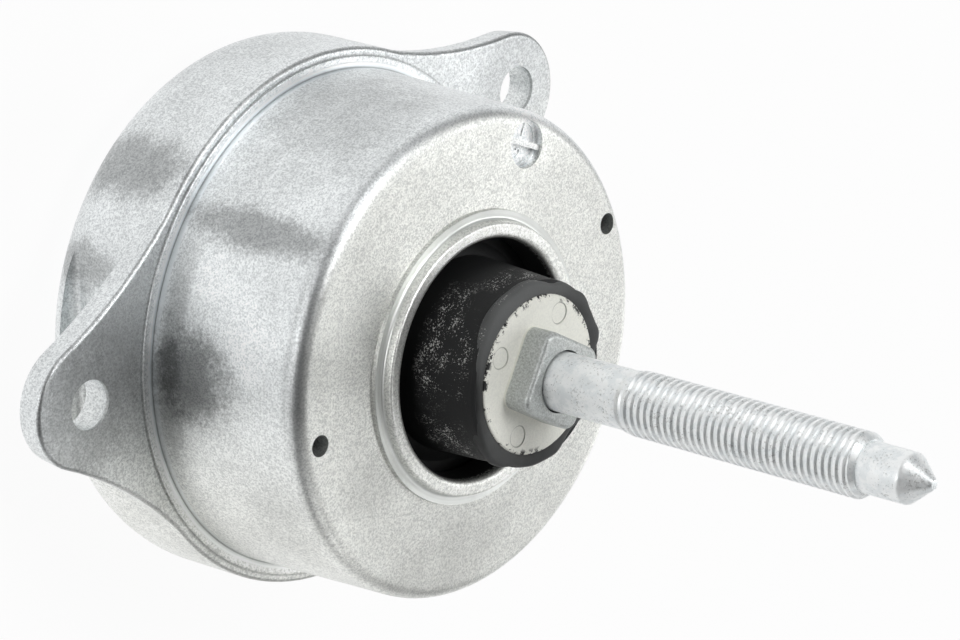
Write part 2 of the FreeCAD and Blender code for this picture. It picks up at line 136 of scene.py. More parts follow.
class FinishColours(bpy.types.PropertyGroup):
    """Colours of the mount's finishes"""

    casting: bpy.props.FloatVectorProperty(
        name="Casting", description="Blasted aluminium casting", subtype="COLOR", size=3,
        default=(0.94, 0.95, 0.945))
    casting_dark: bpy.props.FloatVectorProperty(
        name="Casting flecks", description="Dark flecks in the blasted skin", subtype="COLOR",
        size=3, default=(0.36, 0.37, 0.38))
    turned: bpy.props.FloatVectorProperty(
        name="Turned bands", description="Bare turned aluminium", subtype="COLOR", size=3,
        default=(0.88, 0.90, 0.91))
    core: bpy.props.FloatVectorProperty(
        name="Core", description="Core casting", subtype="COLOR", size=3,
        default=(0.86, 0.86, 0.79))
    zinc: bpy.props.FloatVectorProperty(
        name="Zinc", description="Zinc plating on the stud", subtype="COLOR", size=3,
        default=(0.98, 1.0, 1.0))
    boss_dark: bpy.props.FloatVectorProperty(
        name="Boss grain", description="Dark grain of the core's square boss",
        subtype="COLOR", size=3, default=(0.30, 0.32, 0.32))
    boss_pale: bpy.props.FloatVectorProperty(
        name="Boss", description="Pale grain of the core's square boss", subtype="COLOR",
        size=3, default=(0.54, 0.57, 0.57))
    ejector_mark: bpy.props.FloatVectorProperty(
        name="Ejector marks", description="Dirt in the rings that the ejector pins left",
        subtype="COLOR", size=3, default=(0.25, 0.25, 0.23))
    zinc_dull: bpy.props.FloatVectorProperty(
        name="Dull zinc", description="Duller mottle in the zinc plating", subtype="COLOR",
        size=3, default=(0.72, 0.77, 0.79))
    zinc_speck: bpy.props.FloatVectorProperty(
        name="Zinc specks", description="Small dark specks on the zinc", subtype="COLOR",
        size=3, default=(0.40, 0.41, 0.40))
    track: bpy.props.FloatVectorProperty(
        name="Track plates", description="Pressed aluminium of the fluid track",
        subtype="COLOR", size=3, default=(0.66, 0.67, 0.67))
    steel: bpy.props.FloatVectorProperty(
        name="Steel rings", description="Plain steel of the inner rings", subtype="COLOR",
        size=3, default=(0.42, 0.42, 0.43))
    # Painted reflection colour: tints of the casting by side and on the nose's front face
    cool_reflection_tint: bpy.props.FloatVectorProperty(
        name="Cool tint", description="Tint of the casting's wall on the date stamp's side",
        subtype="COLOR", size=3, default=(0.98, 1.0, 1.01))
    warm_reflection_tint: bpy.props.FloatVectorProperty(
        name="Warm tint", description="Tint of the casting's wall on the other side",
        subtype="COLOR", size=3, default=(1.0, 1.0, 0.965))
    face_reflection_tint: bpy.props.FloatVectorProperty(
        name="Face tint", description="Tint of the nose's front face", subtype="COLOR", size=3,
        default=(0.95, 0.95, 0.915))
    rubber: bpy.props.FloatVectorProperty(
        name="Rubber", description="Moulded rubber", subtype="COLOR", size=3,
        default=(0.011, 0.0115, 0.012))
    rim: bpy.props.FloatVectorProperty(
        name="Rubber rim", description="Smooth rim of the rubber sleeve", subtype="COLOR", size=3,
        default=(0.095, 0.098, 0.098))
    dust: bpy.props.FloatVectorProperty(
        name="Dust", description="Pale release dust on the rubber", subtype="COLOR", size=3,
        default=(0.62, 0.62, 0.60))


class StageSettings(bpy.types.PropertyGroup):
    """Camera, floor and lamps"""

    camera_place: bpy.props.FloatVectorProperty(
        name="Camera place", description="Where the camera stands", subtype="TRANSLATION",
        size=3, default=(-0.599514, 0.506042, 0.694678))
    camera_aim: bpy.props.FloatVectorProperty(
        name="Camera aim", description="Point at the middle of the frame",
        subtype="TRANSLATION", size=3, default=(0.002916, 0.006230, 0.064367))
    camera_roll: bpy.props.FloatProperty(
        name="Camera roll", description="How far the camera is turned about its line of sight",
        default=math.radians(105.2165), subtype="ANGLE")
    lens: bpy.props.FloatProperty(
        name="Lens", description="Focal length on a 36 mm wide frame", default=210.996,
        unit="CAMERA")
    fill: bpy.props.FloatProperty(
        name="Fill", description="Strength of the even light from all sides", default=0.06)
    lamp_reach: bpy.props.FloatProperty(
        name="Lamp reach", description="Distance of the lamps from the mount", default=1.3,
        unit="LENGTH")
    floor_size: bpy.props.FloatProperty(
        name="Floor size", description="Width of the floor", default=6.0, unit="LENGTH")


class MountSettings(bpy.types.PropertyGroup):
    """All settings of the engine mount"""

    stud: bpy.props.PointerProperty(
        name="Stud", description="Sizes of the stud", type=StudSizes)
    sleeve: bpy.props.PointerProperty(
        name="Sleeve", description="Sizes of the rubber rim", type=SleeveSizes)
    stamp: bpy.props.PointerProperty(
        name="Stamp", description="Sizes of the date stamp", type=StampSizes)
    colours: bpy.props.PointerProperty(
        name="Colours", description="Colours of the finishes", type=FinishColours)
    stage: bpy.props.PointerProperty(
        name="Stage", description="Camera, floor and lamps", type=StageSettings)


def get_settings():
    return bpy.context.scene.mount


# ---------------------------------------------------------- shader helpers


def add_node(tree, kind, inputs=None, **settings):
    node = tree.nodes.new(kind)
    for key, value in settings.items():
        setattr(node, key, value)
    for key, value in (inputs or {}).items():
        if isinstance(value, bpy.types.NodeSocket):
            tree.links.new(value, node.inputs[key])
        else:
            node.inputs[key].default_value = value
    return node


def maths(tree, operation, first, second=0.0, clamp=False):
    inputs = {0: first, 1: second}
    return add_node(tree, "ShaderNodeMath", inputs, operation=operation, use_clamp=clamp).outputs[0]


def map_range(tree, value, low, high, to_low=0.0, to_high=1.0, smooth=True):
    node = add_node(tree, "ShaderNodeMapRange", {
        "Value": value, "From Min": low, "From Max": high, "To Min": to_low, "To Max": to_high})
    node.interpolation_type = "SMOOTHSTEP" if smooth else "LINEAR"
    return node.outputs["Result"]


def mix_colour(tree, factor, first, second, blend="MIX", clamp=False):
    node = add_node(tree, "ShaderNodeMix", data_type="RGBA", blend_type=blend,
                    clamp_result=clamp)
    for index, value in ((0, factor), (6, first), (7, second)):
        if isinstance(value, bpy.types.NodeSocket):
            tree.links.new(value, node.inputs[index])
        elif index == 0:
            node.inputs[0].default_value = value
        else:
            node.inputs[index].default_value = (*value[:3], 1.0)
    return node.outputs[2]


def mix_value(tree, factor, first, second):
    node = add_node(tree, "ShaderNodeMix", data_type="FLOAT")
    for index, value in ((0, factor), (2, first), (3, second)):
        if isinstance(value, bpy.types.NodeSocket):
            tree.links.new(value, node.inputs[index])
        else:
            node.inputs[index].default_value = value
    return node.outputs[0]


def grey(tree, value):
    return add_node(tree, "ShaderNodeCombineColor", {0: value, 1: value, 2: value}).outputs[0]


def add_noise(tree, vector, scale, detail=2.0, roughness=0.5, dimensions="3D"):
    inputs = {"Scale": scale, "Detail": detail, "Roughness": roughness}
    if dimensions == "1D":
        inputs["W"] = vector
    else:
        inputs["Vector"] = vector
    return add_node(tree, "ShaderNodeTexNoise", inputs, noise_dimensions=dimensions).outputs[0]


def start_group(name, inputs, outputs):
    group = bpy.data.node_groups.new(name, "ShaderNodeTree")
    for label, kind, default in inputs:
        socket = group.interface.new_socket(label, in_out="INPUT", socket_type=kind)
        if default is not None:
            socket.default_value = default
    for label, kind in outputs:
        group.interface.new_socket(label, in_out="OUTPUT", socket_type=kind)
    source = group.nodes.new("NodeGroupInput")
    sink = group.nodes.new("NodeGroupOutput")
    return group, source.outputs, sink.inputs


def build_place_group():
    """Place round the stud's axis: radius and height in millimetres, turn in radians"""
    group, _, out = start_group("mount place", [], [
        ("Radius", "NodeSocketFloat"), ("Height", "NodeSocketFloat"),
        ("Turn", "NodeSocketFloat"), ("Point", "NodeSocketVector")])
    spot = add_node(group, "ShaderNodeTexCoord").outputs["Object"]
    point = add_node(group, "ShaderNodeVectorMath", {0: spot, 1: (1000, 1000, 1000)},
                     operation="MULTIPLY").outputs[0]
    parts = add_node(group, "ShaderNodeSeparateXYZ", {0: point}).outputs
    flat = maths(group, "ADD", maths(group, "MULTIPLY", parts[0], parts[0]),
                 maths(group, "MULTIPLY", parts[1], parts[1]))
    turn = maths(group, "ARCTAN2", parts[1], parts[0])
    group.links.new(maths(group, "SQRT", flat), out["Radius"])
    group.links.new(parts[2], out["Height"])
    group.links.new(turn, out["Turn"])
    group.links.new(point, out["Point"])
    return group


def build_band_group():
    """1 between two values and 0 outside, with soft ends"""
    group, source, out = start_group("band", [
        ("Value", "NodeSocketFloat", 0.0), ("Low", "NodeSocketFloat", 0.0),
        ("High", "NodeSocketFloat", 1.0), ("Soft", "NodeSocketFloat", 0.1)],
        [("Mask", "NodeSocketFloat")])
    low = maths(group, "SUBTRACT", source["Value"], source["Low"])
    high = maths(group, "SUBTRACT", source["High"], source["Value"])
    ends = [maths(group, "DIVIDE", end, source["Soft"], clamp=True) for end in (low, high)]
    group.links.new(maths(group, "MULTIPLY", ends[0], ends[1]), out["Mask"])
    return group


def build_cast_group():
    """Blasted die-cast skin: fine grain, pale strokes, wide clouds and the grain's height"""
    group, source, out = start_group("cast skin", [("Point", "NodeSocketVector", None)],
        [("Grain", "NodeSocketFloat"), ("Stroke", "NodeSocketFloat"),
         ("Cloud", "NodeSocketFloat"), ("Height", "NodeSocketFloat")])
    point = source["Point"]
    fine = add_noise(group, point, 2.7, 3.0, 0.72)
    coarse = add_noise(group, point, 1.1, 2.0, 0.5)
    cloud = add_noise(group, point, 0.07, 3.0, 0.6)
    grain = maths(group, "ADD", maths(group, "MULTIPLY", fine, 0.8),
                  maths(group, "MULTIPLY", coarse, 0.2))
    strokes = []
    for stretch in ((0.5, 2.6, 0.9), (1.9, 0.7, 1.9)):
        drawn = add_node(group, "ShaderNodeVectorMath", {0: point, 1: stretch},
                         operation="MULTIPLY").outputs[0]
        strokes.append(map_range(group, add_noise(group, drawn, 1.3, 1.0, 0.5), 0.66, 0.76))
    group.links.new(map_range(group, grain, 0.38, 0.61), out["Grain"])
    group.links.new(maths(group, "MAXIMUM", *strokes), out["Stroke"])
    group.links.new(map_range(group, cloud, 0.32, 0.68), out["Cloud"])
    group.links.new(fine, out["Height"])
    return group


def build_patch_group():
    """A soft-edged mask round a centre, in millimetres, for patches of painted shade and painted
    highlight
    """
    group, source, out = start_group("patch", [
        ("Point", "NodeSocketVector", None), ("Centre", "NodeSocketVector", None),
        ("Size", "NodeSocketVector", None)], [("Mask", "NodeSocketFloat")])
    away = add_node(group, "ShaderNodeVectorMath", {0: source["Point"], 1: source["Centre"]},
                    operation="SUBTRACT").outputs[0]
    away = add_node(group, "ShaderNodeVectorMath", {0: away, 1: source["Size"]},
                    operation="DIVIDE").outputs[0]
    reach = add_node(group, "ShaderNodeVectorMath", {0: away}, operation="LENGTH").outputs["Value"]
    wander = add_noise(group, source["Point"], 0.22, 3.0, 0.6)
    reach = maths(group, "ADD", reach, maths(group, "MULTIPLY", wander, 0.9))
    speckle = add_noise(group, source["Point"], 1.3, 3.0, 0.75)
    reach = maths(group, "ADD", reach, maths(group, "MULTIPLY", speckle, 1.1))
    group.links.new(map_range(group, reach, 2.25, 1.45), out["Mask"])
    return group


def build_turning_group():
    """Fine rings left by a lathe tool or a roller, along one value in millimetres"""
    group, source, out = start_group("turning", [
        ("Value", "NodeSocketFloat", 0.0), ("Rings", "NodeSocketFloat", 3.0)],
        [("Streak", "NodeSocketFloat")])
    streak = add_noise(group, source["Value"], source["Rings"], 3.0, 0.6, "1D")
    group.links.new(map_range(group, streak, 0.3, 0.7), out["Streak"])
    return group


def build_speck_group():
    """Sparse pale or dark specks"""
    group, source, out = start_group("specks", [
        ("Point", "NodeSocketVector", None), ("Size", "NodeSocketFloat", 1.0),
        ("Cover", "NodeSocketFloat", 0.5)], [("Mask", "NodeSocketFloat")])
    scale = maths(group, "DIVIDE", 1.0, source["Size"])
    dots = add_noise(group, source["Point"], scale, 4.0, 0.72)
    patch = add_noise(group, source["Point"], maths(group, "MULTIPLY", scale, 0.13), 2.0, 0.5)
    level = maths(group, "ADD", dots, maths(group, "MULTIPLY", patch, 0.35))
    edge = maths(group, "SUBTRACT", 0.86, maths(group, "MULTIPLY", source["Cover"], 0.3))
    mask = map_range(group, level, edge, maths(group, "ADD", edge, 0.05))
    group.links.new(mask, out["Mask"])
    return group


def use_group(tree, group, inputs=None):
    node = tree.nodes.new("ShaderNodeGroup")
    node.node_tree = group
    for key, value in (inputs or {}).items():
        if isinstance(value, bpy.types.NodeSocket):
            tree.links.new(value, node.inputs[key])
        else:
            node.inputs[key].default_value = value
    return node.outputs


class FinishShop:
    """Builds the mount's materials from the shared groups"""

    def __init__(self):
        self.place = build_place_group()
        self.band = build_band_group()
        self.cast = build_cast_group()
        self.turning = build_turning_group()
        self.specks = build_speck_group()
        self.patch = build_patch_group()

    def start(self, name, metallic, roughness):
        material = bpy.data.materials.new(name)
        material.use_nodes = True
        tree = material.node_tree
        shader = tree.nodes["Principled BSDF"]
        shader.inputs["Metallic"].default_value = metallic
        shader.inputs["Roughness"].default_value = roughness
        return material, tree, shader, use_group(tree, self.place)

    def split(self, tree, place):
        return add_node(tree, "ShaderNodeSeparateXYZ", {0: place["Point"]}).outputs

    def mask(self, tree, value, low, high, soft):
        return use_group(tree, self.band, {
            "Value": value, "Low": low, "High": high, "Soft": soft})["Mask"]


def link(tree, value, shader, socket):
    tree.links.new(value, shader.inputs[socket])


def add_bump(tree, shader, height, strength, distance=0.0002):
    bump = add_node(tree, "ShaderNodeBump", {
        "Height": height, "Strength": strength, "Distance": distance})
    tree.links.new(bump.outputs[0], shader.inputs["Normal"])


def scale_value(tree, value, low, high):
    return map_range(tree, value, 0.0, 1.0, low, high, smooth=False)


CASTING_METAL = 0.95
STROKE_WHITE = (1.0, 1.0, 1.0)
BAND_EDGE = 0.15


def make_cast_finish(shop, name, smooth_bands, painted_lighting=(), rings=(), lined_bore=False):
    """Blasted casting.

    smooth_bands: radius and height limits of the turned bands.
    painted_lighting: centre, size and tone of soft patches of painted shade, painted reflection and
    painted highlight in the skin.
    rings: radius, height and turn limits with the tone of painted shade, painted reflection and
    painted highlight lines, and of lighter bands.
    lined_bore: True where the spring's rubber lines the opening.
    """
    colours = get_settings().colours
    material, tree, shader, place = shop.start(name, CASTING_METAL, 0.4)
    skin = use_group(tree, shop.cast, {"Point": place["Point"]})
    smooth = None
    for radius_low, radius_high, height_low, height_high in smooth_bands:
        here = maths(tree, "MULTIPLY",
                     shop.mask(tree, place["Radius"], radius_low, radius_high, BAND_EDGE),
                     shop.mask(tree, place["Height"], height_low, height_high, BAND_EDGE))
        smooth = here if smooth is None else maths(tree, "MAXIMUM", smooth, here)
    turning = use_group(tree, shop.turning, {"Value": place["Radius"], "Rings": 1.6})["Streak"]
    grain = mix_colour(tree, skin["Grain"], colours.casting_dark, colours.casting)
    base = mix_colour(tree, 0.42, grain, colours.casting)
    base = mix_colour(tree, maths(tree, "MULTIPLY", skin["Stroke"], 0.6), base, STROKE_WHITE)
    tone = scale_value(tree, skin["Cloud"], 0.93, 1.06)
    # Painted shade, reflections and highlights: soft patches that darken or lighten the skin
    for centre, size, strength in painted_lighting:
        here = use_group(tree, shop.patch, {
            "Point": place["Point"], "Centre": centre, "Size": size})["Mask"]
        tone = maths(tree, "MULTIPLY", tone, scale_value(tree, here, 1.0, strength))
    # Painted shade and reflection lines, painted highlights and lighter bands, in rings round the
    # axis
    for radii, heights, turns, strength in rings:
        here = maths(tree, "MULTIPLY", shop.mask(tree, place["Radius"], *radii),
                     shop.mask(tree, place["Height"], *heights))
        here = maths(tree, "MULTIPLY", here, shop.mask(tree, place["Turn"], *turns))
        tone = maths(tree, "MULTIPLY", tone, scale_value(tree, here, 1.0, strength))
    turned = mix_colour(tree, 1.0, colours.turned,
                        grey(tree, scale_value(tree, turning, 0.92, 1.0)), "MULTIPLY")
    base = mix_colour(tree, smooth, base, turned)
    base = mix_colour(tree, 1.0, base, grey(tree, tone), "MULTIPLY")
    # Painted reflection colour: the wall cooler on the date stamp's side and warmer on the other,
    # the nose's front face darker and warmer
    side = map_range(tree, shop.split(tree, place)[1], -20.0, 25.0)
    tint = mix_colour(tree, side, colours.warm_reflection_tint, colours.cool_reflection_tint)
    face = shop.mask(tree, place["Height"], 62.0, 70.0, 1.0)
    tint = mix_colour(tree, face, tint, colours.face_reflection_tint)
    base = mix_colour(tree, 1.0, base, tint, "MULTIPLY", clamp=True)
    if lined_bore:
        crumbs = maths(tree, "MULTIPLY", skin["Grain"], 0.9)
        ragged = maths(tree, "ADD", place["Height"], crumbs)
        lining = maths(tree, "MULTIPLY", shop.mask(tree, place["Radius"], -1.0, 22.9, 0.25),
                       map_range(tree, ragged, 65.9, 65.3))
        base = mix_colour(tree, lining, base, colours.rubber)
        link(tree, scale_value(tree, lining, CASTING_METAL, 0.0), shader, "Metallic")
    link(tree, base, shader, "Base Color")
    rough = scale_value(tree, skin["Grain"], 0.47, 0.38)
    rough = mix_value(tree, smooth, rough, 0.43)
    link(tree, rough, shader, "Roughness")
    level = maths(tree, "MULTIPLY", skin["Height"],
                  maths(tree, "SUBTRACT", 1.0, maths(tree, "MULTIPLY", smooth, 0.9)))
    add_bump(tree, shader, level, 0.32)
    return material


EJECTOR_PITCH = 11.55
EJECTOR_MARK = (1.8, 2.1, 0.12)


def make_core_finish(shop):
    """Cream-grey core casting with rubber crumbs at its rim and a greyer square"""
    colours = get_settings().colours
    material, tree, shader, place = shop.start("core casting", 0.1, 0.55)
    skin = use_group(tree, shop.cast, {"Point": place["Point"]})
    crumbs = use_group(tree, shop.specks, {
        "Point": place["Point"], "Size": 1.5, "Cover": 0.52})["Mask"]
    rim = shop.mask(tree, place["Radius"], 13.3, 16.0, 0.8)
    front = shop.mask(tree, place["Height"], 78.4, 79.3, 0.2)
    crumbs = maths(tree, "MULTIPLY", crumbs, maths(tree, "MULTIPLY", rim, front))
    boss = shop.mask(tree, place["Height"], 79.4, 90.0, 0.3)
    base = mix_colour(tree, scale_value(tree, skin["Grain"], 0.14, 0.0), colours.core,
                      colours.casting_dark)
    worn = mix_colour(tree, skin["Grain"], colours.boss_dark, colours.boss_pale)
    base = mix_colour(tree, maths(tree, "MULTIPLY", boss, 0.85), base, worn)
    turn = maths(tree, "MODULO", maths(tree, "ADD", place["Turn"], math.tau), math.pi / 2)
    along = maths(tree, "SUBTRACT", turn, math.pi / 4)
    along = maths(tree, "MULTIPLY", along, EJECTOR_PITCH)
    across = maths(tree, "SUBTRACT", place["Radius"], EJECTOR_PITCH)
    gap = maths(tree, "SQRT", maths(tree, "ADD", maths(tree, "MULTIPLY", along, along),
                                    maths(tree, "MULTIPLY", across, across)))
    mark = maths(tree, "MULTIPLY", shop.mask(tree, gap, *EJECTOR_MARK), front)
    base = mix_colour(tree, maths(tree, "MULTIPLY", mark, 0.7), base, colours.ejector_mark)
    base = mix_colour(tree, crumbs, base, colours.rubber)
    link(tree, base, shader, "Base Color")
    link(tree, mix_value(tree, boss, 0.6, 0.42), shader, "Roughness")
    link(tree, mix_value(tree, boss, 0.05, 0.6), shader, "Metallic")
    add_bump(tree, shader, skin["Height"], 0.35)
    return material


def make_zinc_finish(shop):
    """Zinc plating with small dull specks"""
    colours = get_settings().colours
    material, tree, shader, place = shop.start("zinc plating", 0.62, 0.42)
    specks = use_group(tree, shop.specks, {
        "Point": place["Point"], "Size": 0.5, "Cover": 0.33})["Mask"]
    skin = use_group(tree, shop.cast, {"Point": place["Point"]})
    mottle = map_range(tree, add_noise(tree, place["Point"], 0.4, 3.0, 0.75), 0.42, 0.62)
    base = mix_colour(tree, scale_value(tree, mottle, 0.0, 0.5), colours.zinc,
                      colours.zinc_dull)
    base = mix_colour(tree, maths(tree, "MULTIPLY", specks, 0.6), base, colours.zinc_speck)
    link(tree, base, shader, "Base Color")
    link(tree, scale_value(tree, skin["Grain"], 0.36, 0.5), shader, "Roughness")
    add_bump(tree, shader, skin["Height"], 0.12)
    return material


def make_rubber_finish(shop, name, colour, dust_spots=(), painted_sheen_side=1.0):
    """Moulded rubber.

    dust_spots: height limits, turn limits and cover of the pale release dust.
    painted_sheen_side: how many times paler the rubber is on the date stamp's side, a painted
    sheen.
    """
    colours = get_settings().colours
    material, tree, shader, place = shop.start(name, 0.0, 0.6)
    shader.inputs["Specular IOR Level"].default_value = 0.3
    skin = use_group(tree, shop.cast, {"Point": place["Point"]})
    side = map_range(tree, shop.split(tree, place)[1], 3.0, 16.0)
    # Painted sheen: the rubber paler on the date stamp's side and darker on the other
    base = mix_colour(tree, side, tuple(c / painted_sheen_side for c in colour), colour)
    base = mix_colour(tree, maths(tree, "MULTIPLY", skin["Cloud"], 0.3), base,
                      tuple(1.5 * c for c in colour))
    for heights, turns, cover in dust_spots:
        dust = use_group(tree, shop.specks, {
            "Point": place["Point"], "Size": 0.36, "Cover": cover})["Mask"]
        here = maths(tree, "MULTIPLY", shop.mask(tree, place["Height"], *heights),
                     shop.mask(tree, place["Turn"], *turns))
        base = mix_colour(tree, maths(tree, "MULTIPLY", dust, here), base, colours.dust)
    link(tree, base, shader, "Base Color")
    add_bump(tree, shader, skin["Height"], 0.3)
    return material


def make_metal_finish(shop, name, colour, roughness, rings):
    """Plain machined or pressed metal with faint rings"""
    material, tree, shader, place = shop.start(name, 0.75, roughness)
    streak = use_group(tree, shop.turning, {
        "Value": place["Radius"], "Rings": rings})["Streak"]
    tint = grey(tree, scale_value(tree, streak, 0.85, 1.0))
    link(tree, mix_colour(tree, 1.0, colour, tint, "MULTIPLY"), shader, "Base Color")
    link(tree, scale_value(tree, streak, roughness - 0.06, roughness + 0.06), shader,
         "Roughness")
    add_bump(tree, shader, streak, 0.08)
    return material


WHOLE_TURN = (-4.0, 4.0, 0.1)
# Painted shade, painted shadow, painted reflections and painted highlights as soft patches in the
# cast skin: centre and size in millimetres, then tone
NOSE_PAINTED_LIGHTING = (
    ((2.0, 45.8, 44.0), (17.0, 12.0, 16.0), 0.76),
    ((-26.8, 37.4, 46.0), (4.4, 4.4, 19.0), 0.52),
    ((-34.5, 30.5, 40.0), (5.0, 6.0, 12.0), 1.08),
    # Painted reflection: dark patch on the nose's left wall
    ((-43.3, 14.6, 37.5), (6.5, 9.5, 10.0), 0.38),
    ((-44.0, 12.0, 31.5), (7.0, 20.0, 4.0), 0.78),
    ((-40.0, 22.0, 52.0), (5.0, 7.0, 8.0), 1.12),
    ((-43.0, -15.0, 52.0), (8.0, 14.0, 9.0), 0.92),
    ((-30.0, -9.0, 63.4), (8.0, 7.0, 5.0), 0.86),
    ((-16.0, -34.0, 63.0), (20.0, 9.0, 6.0), 0.84),
    ((24.7, 30.4, 61.4), (8.0, 8.0, 2.2), 1.2),
)
DRUM_PAINTED_LIGHTING = (
    # Painted reflection: dark patch on the drum's upper left
    ((-25.5, 43.0, 13.5), (8.0, 7.0, 15.0), 0.56),
    ((-38.4, 28.8, 10.0), (3.5, 5.0, 9.0), 0.62),
    ((4.0, 50.0, 15.0), (16.0, 9.0, 9.0), 0.90),
    # Painted shadow of the nose on the left ear's face
    ((-63.0, 16.0, 28.8), (16.0, 17.0, 1.3), 0.64),
    ((-44.0, -22.0, 10.0), (12.0, 18.0, 12.0), 1.15),
    ((61.0, 17.0, 28.8), (19.0, 18.0, 1.5), 0.86),
)
# Painted shade, painted reflections and painted highlights as lines and bands, and a lighter band
# on the collar: radius, height and turn limits (each low, high, soft), then tone
NOSE_PAINTED_LIGHT_RINGS = (
    # Painted shade in the joint between the nose and the drum's collar
    ((46.0, 47.0, 0.1), (28.0, 28.85, 0.15), WHOLE_TURN, 0.45),
    # Painted reflection: darker band on the left of the nose's foot
    ((45.0, 47.0, 0.1), (29.9, 36.0, 1.6), (2.1, 3.3, 0.4), 0.70),
    # Painted reflection: darker band on the left of the nose's rounded front edge
    ((42.2, 45.9, 1.2), (58.6, 64.0, 1.2), (2.15, 3.1, 0.25), 0.56),
    # Painted highlight on the lip's rounded top
    ((22.8, 25.2, 0.2), (65.2, 67.0, 0.2), WHOLE_TURN, 1.18),
)
DRUM_SHADE_AND_TONE_RINGS = (
    # Painted shadow of the collar's small step
    ((48.3, 48.9, 0.25), (28.0, 28.9, 0.1), WHOLE_TURN, 0.66),
    # Painted shade in the joint against the nose
    ((45.9, 46.6, 0.15), (27.0, 29.5, 0.1), WHOLE_TURN, 0.55),
    # Lighter band on the collar's top
    ((46.7, 48.2, 0.3), (28.4, 29.2, 0.1), WHOLE_TURN, 1.22),
    # Painted shade on the flange's rounded front edge
    ((45.0, 90.0, 1.0), (27.6, 28.29, 0.12), WHOLE_TURN, 0.7),
)
# Release dust on the rubber: height and turn limits (each low, high, soft), then cover
SLEEVE_DUST = (
    ((64.5, 72.5, 3.0), (1.6, 3.15, 0.35), 0.38),
    ((65.0, 78.0, 3.0), (1.9, 3.0, 0.4), 0.24),
    ((70.0, 78.0, 1.5), (0.9, 1.7, 0.15), 0.30),
    ((64.0, 76.0, 3.0), (-3.2, -2.2, 0.3), 0.36),
)
RIM_DUST = (
    ((75.0, 78.4, 0.4), (0.9, 3.1, 0.3), 0.22),
)


def coat(node, material):
    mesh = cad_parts[node].data
    mesh.materials.clear()
    mesh.materials.append(material)


# ------------------------------------------------------------ mesh helpers


def finish_piece(bm, name, material, smooth_angle=35.0):
    bmesh.ops.remove_doubles(bm, verts=bm.verts, dist=1e-7)
    bmesh.ops.recalc_face_normals(bm, faces=bm.faces)
    for face in bm.faces:
        face.smooth = True
    for edge in bm.edges:
        if len(edge.link_faces) == 2:
            edge.smooth = edge.calc_face_angle() < math.radians(smooth_angle)
    mesh = bpy.data.meshes.new(name)
    bm.to_mesh(mesh)
    bm.free()
    piece = bpy.data.objects.new(name, mesh)
    bpy.context.collection.objects.link(piece)
    mesh.materials.append(material)
    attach(piece, "root")
    return piece


def spin_profile(bm, points, steps=96):
    """Turns a profile of (radius, height) points into a closed body of revolution"""
    verts = [bm.verts.new((radius, 0.0, height)) for radius, height in points]
    edges = [bm.edges.new(pair) for pair in zip(verts, verts[1:])]
    bmesh.ops.spin(bm, geom=verts + edges, cent=(0, 0, 0), axis=UP, angle=math.tau,
                   steps=steps, use_merge=True, use_duplicate=False)
    bmesh.ops.remove_doubles(bm, verts=bm.verts, dist=1e-7)


def ease(value):
    value = min(max(value, 0.0), 1.0)
    return value * value * (3.0 - 2.0 * value)


# --------------------------------------------------------------- operators


class MOUNT_OT_finishes(bpy.types.Operator):
    """Coat every CAD node with its finish"""

    bl_idname = "mount.finishes"
    bl_label = "Finishes"

    def execute(self, context):
        colours = get_settings().colours
        shop = FinishShop()
        nose = make_cast_finish(
            shop, "nose casting", ((25.15, 27.05, 63.0, 65.2), (44.0, 47.0, 28.0, 30.0)),
            painted_lighting=NOSE_PAINTED_LIGHTING, rings=NOSE_PAINTED_LIGHT_RINGS, lined_bore=True)
        drum = make_cast_finish(
            shop, "drum casting", ((46.0, 47.4, 28.4, 29.0),),
            painted_lighting=DRUM_PAINTED_LIGHTING, rings=DRUM_SHADE_AND_TONE_RINGS)
        coat("nose_housing", nose)
        coat("drum_housing", drum)
        coat("rear_cover", make_cast_finish(shop, "cover casting", ((0.0, 60.0, -1.0, 4.0),)))
        coat("core", make_core_finish(shop))
        zinc = make_zinc_finish(shop)
        for node in ("stud", "track_rivets"):
            coat(node, zinc)
        coat("main_spring", make_rubber_finish(
            shop, "spring rubber", colours.rubber, SLEEVE_DUST))
        seal = make_rubber_finish(shop, "seal rubber", colours.rubber)
        for node in ("decoupler", "diaphragm", "front_seal", "track_seal"):
            coat(node, seal)
        track = make_metal_finish(shop, "track aluminium", colours.track, 0.35, 2.0)
        for node in ("track_top", "track_body"):
            coat(node, track)
        steel = make_metal_finish(shop, "plain steel", colours.steel, 0.4, 1.5)
        for node in ("spring_ring", "bead_insert", "rear_snap_ring"):
            coat(node, steel)
        # Painted sheen on the rim's date stamp side
        make_rubber_finish(shop, "rim rubber", colours.rim, RIM_DUST, painted_sheen_side=3.2)
        return {"FINISHED"}


